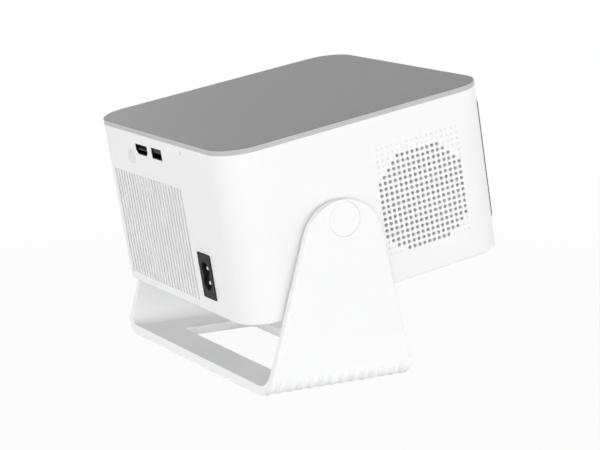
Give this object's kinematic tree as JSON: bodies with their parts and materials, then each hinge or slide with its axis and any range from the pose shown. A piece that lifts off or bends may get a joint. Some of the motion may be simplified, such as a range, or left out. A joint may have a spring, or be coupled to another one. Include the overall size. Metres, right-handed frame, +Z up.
{
  "type": "home projector",
  "caption": "Box-shaped home projector with grey top, side speaker perforation, rear vent and sockets, held by friction pivots in a U-shaped stand with ribbed bends.",
  "frame": {"origin": "on the table, straight below the tilt axis, just ahead of the middle of the stand's base", "axes": "+Z up, the lens looks along -Y, the sockets face +Y, and the tilt axis runs along X"},
  "size_m": [0.1784, 0.1832, 0.1629],
  "materials": {
    "white_plastic": "smooth satin white moulding",
    "grey_plastic": "fine matt grey moulding",
    "black_gloss": "polished black",
    "black_plastic": "fine matt black",
    "inlet_plastic": "satin dark grey",
    "pale_plastic": "smooth natural acetal",
    "clear_plastic": "clear polished",
    "lens_glass": "polished and coated",
    "panel_glass": "dark display glass",
    "steel": "plain plated steel",
    "socket_metal": "blackened sheet",
    "aluminium": "extruded, plain",
    "magnet": "dark ferrite",
    "cone_paper": "dark pressed paper",
    "circuit_board": "green lacquer",
    "parts_plastic": "dark wrapped",
    "ribbon": "amber film",
    "pad_rubber": "matt pale grey",
    "dark_rubber": "matt black"
  },
  "bodies": {
    "stand": {"stand_bracket": "white_plastic", "base_pad": "pad_rubber", "pivot_caps": "white_plastic", "pivot_bushes": "pale_plastic", "friction_washers": "dark_rubber"},
    "head": {"main_shell": "white_plastic", "bottom_cover": "white_plastic", "top_cover": "grey_plastic", "front_panel": "black_gloss", "lens_bezel": "black_plastic", "engine_housing": "black_plastic", "engine_lid": "black_plastic", "lens_mount": "black_plastic", "focus_camera": "black_plastic", "fan_frame": "black_plastic", "speaker_frame_left": "black_plastic", "speaker_frame_right": "black_plastic", "key_switch": "black_plastic", "focus_motor": "black_plastic", "processor": "black_plastic", "port_tongues": "black_plastic", "ac_inlet": "inlet_plastic", "light_pipe": "clear_plastic", "lamp_chip": "clear_plastic", "condenser_lens": "lens_glass", "heat_glass": "lens_glass", "fresnel_front": "lens_glass", "fresnel_rear": "lens_glass", "lcd_panel": "panel_glass", "pivot_pins": "steel", "pivot_plates": "steel", "case_screws": "steel", "inner_screws": "steel", "focus_clip": "steel", "inlet_pins": "steel", "hdmi_port": "socket_metal", "usb_port": "socket_metal", "heat_sink": "aluminium", "chip_heat_sink": "aluminium", "lamp_module": "aluminium", "speaker_magnet_left": "magnet", "speaker_magnet_right": "magnet", "speaker_cone_left": "cone_paper", "speaker_cone_right": "cone_paper", "main_board": "circuit_board", "supply_board": "circuit_board", "transformer": "parts_plastic", "capacitors": "parts_plastic", "panel_ribbon": "ribbon", "fan_gasket": "dark_rubber", "inlet_leads": "dark_rubber"},
    "fan": {"fan_rotor": "black_plastic"},
    "key": {"power_key": "white_plastic"},
    "focus_ring": {"focus_ring": "pale_plastic"},
    "lens": {"lens_barrel": "black_plastic", "guide_pins": "steel", "front_lens": "lens_glass", "rear_lens": "lens_glass", "lens_retainers": "black_plastic"},
    "pinion": {"focus_pinion": "pale_plastic"}
  },
  "joints": [
    {"name": "head_tilt", "type": "hinge", "parent": "stand", "child": "head", "pos_m": [0, 0, 0.0942], "axis": [-1, 0, 0], "range_deg": [-29, 80.3]},
    {"name": "fan_spin", "type": "hinge", "parent": "head", "child": "fan", "pos_m": [0.02, 0.04577, 0.07709], "axis": [0, 0.9857, -0.1685], "continuous": true},
    {"name": "key_press", "type": "slide", "parent": "head", "child": "key", "axis": [0, -0.9857, 0.1685], "range_m": [0, 0.0006], "stiffness_N_per_m": 600, "springref_m": -0.0005},
    {"name": "focus_turn", "type": "hinge", "parent": "head", "child": "focus_ring", "pos_m": [0, -0.08452, 0.11073], "axis": [0, 0.9857, -0.1685], "range_deg": [-30, 30]},
    {"name": "focus_slide", "type": "slide", "parent": "head", "child": "lens", "axis": [0, 0.9857, -0.1685], "range_m": [-0.003, 0.003]},
    {"name": "pinion_turn", "type": "hinge", "parent": "head", "child": "pinion", "pos_m": [-0.03128, -0.08757, 0.09293], "axis": [0, 0.9857, -0.1685], "range_deg": [-150, 150]}
  ],
  "couplings": [
    {"joint": "focus_slide", "follows": "focus_turn", "m_per_rad": 0.0057296},
    {"joint": "pinion_turn", "follows": "focus_turn", "ratio": -5}
  ]
}
